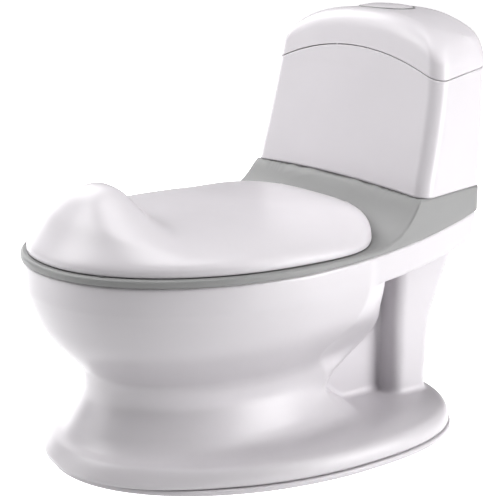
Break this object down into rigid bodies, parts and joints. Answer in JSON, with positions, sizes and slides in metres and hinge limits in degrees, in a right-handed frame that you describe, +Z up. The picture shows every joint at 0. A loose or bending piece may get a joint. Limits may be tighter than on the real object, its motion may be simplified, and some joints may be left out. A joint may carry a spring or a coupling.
{
  "type": "potty training chair",
  "caption": "Toddler potty chair shaped like a small toilet: pedestal, grey seat deck, lift-out pot, hinged lid with raised front hump, tank with hinged top and press button.",
  "frame": {"origin": "centre of the bounding box on the floor, under the rubber feet", "axes": "+Z up, front of the bowl towards -Y, tank towards +Y, +X is the sitter's left side"},
  "size_m": [0.2804, 0.3895, 0.3626],
  "materials": {
    "white_plastic": "satin moulded polypropylene",
    "grey_plastic": "fine moulded texture",
    "rubber": "matte",
    "steel": "plain steel",
    "dark_plastic": "matte",
    "board": "solder mask"
  },
  "bodies": {
    "frame": {"body_shell": "white_plastic", "base_plate": "white_plastic", "seat_deck": "grey_plastic", "seat_ring": "white_plastic", "tank_shell": "white_plastic", "tank_hinge_pin": "steel", "rubber_foot_1": "rubber", "rubber_foot_2": "rubber", "rubber_foot_3": "rubber", "rubber_foot_4": "rubber", "rubber_foot_5": "rubber", "rubber_foot_6": "rubber", "rubber_foot_7": "rubber", "base_screw_1": "steel", "lid_bumper_1": "rubber", "base_screw_2": "steel", "lid_bumper_2": "rubber", "base_screw_3": "steel", "lid_bumper_3": "rubber", "base_screw_4": "steel", "lid_bumper_4": "rubber", "tank_screw_1": "steel", "lid_hinge_pin_1": "steel", "tank_screw_2": "steel", "lid_hinge_pin_2": "steel"},
    "tank_lid": {"tank_lid": "white_plastic", "button_bezel": "grey_plastic", "button_spring": "steel", "module_case": "white_plastic", "module_screw_1": "steel", "module_screw_2": "steel", "circuit_board": "board", "tact_switch": "dark_plastic", "speaker": "dark_plastic", "coin_cell_1": "steel", "coin_cell_2": "steel", "battery_door": "white_plastic"},
    "lid": {"lid": "white_plastic"},
    "flush_button": {"flush_button": "white_plastic"},
    "pot": {"inner_pot": "white_plastic"}
  },
  "joints": [
    {"name": "lid_hinge", "type": "hinge", "parent": "frame", "child": "lid", "pos_m": [0, 0.0767, 0.1988], "axis": [-1, 0, 0], "range_deg": [0, 100]},
    {"name": "tank_lid_hinge", "type": "hinge", "parent": "frame", "child": "tank_lid", "pos_m": [0, 0.1912, 0.3375], "axis": [-1, 0, 0], "range_deg": [0, 80]},
    {"name": "flush_button_press", "type": "slide", "parent": "tank_lid", "child": "flush_button", "axis": [0, 0, -1], "range_m": [0, 0.003], "stiffness_N_per_m": 200, "springref_m": -0.002, "deforming": ["button_spring"]},
    {"name": "pot_lift", "type": "slide", "parent": "frame", "child": "pot", "axis": [0, 0, 1], "range_m": [0, 0.008]}
  ]
}
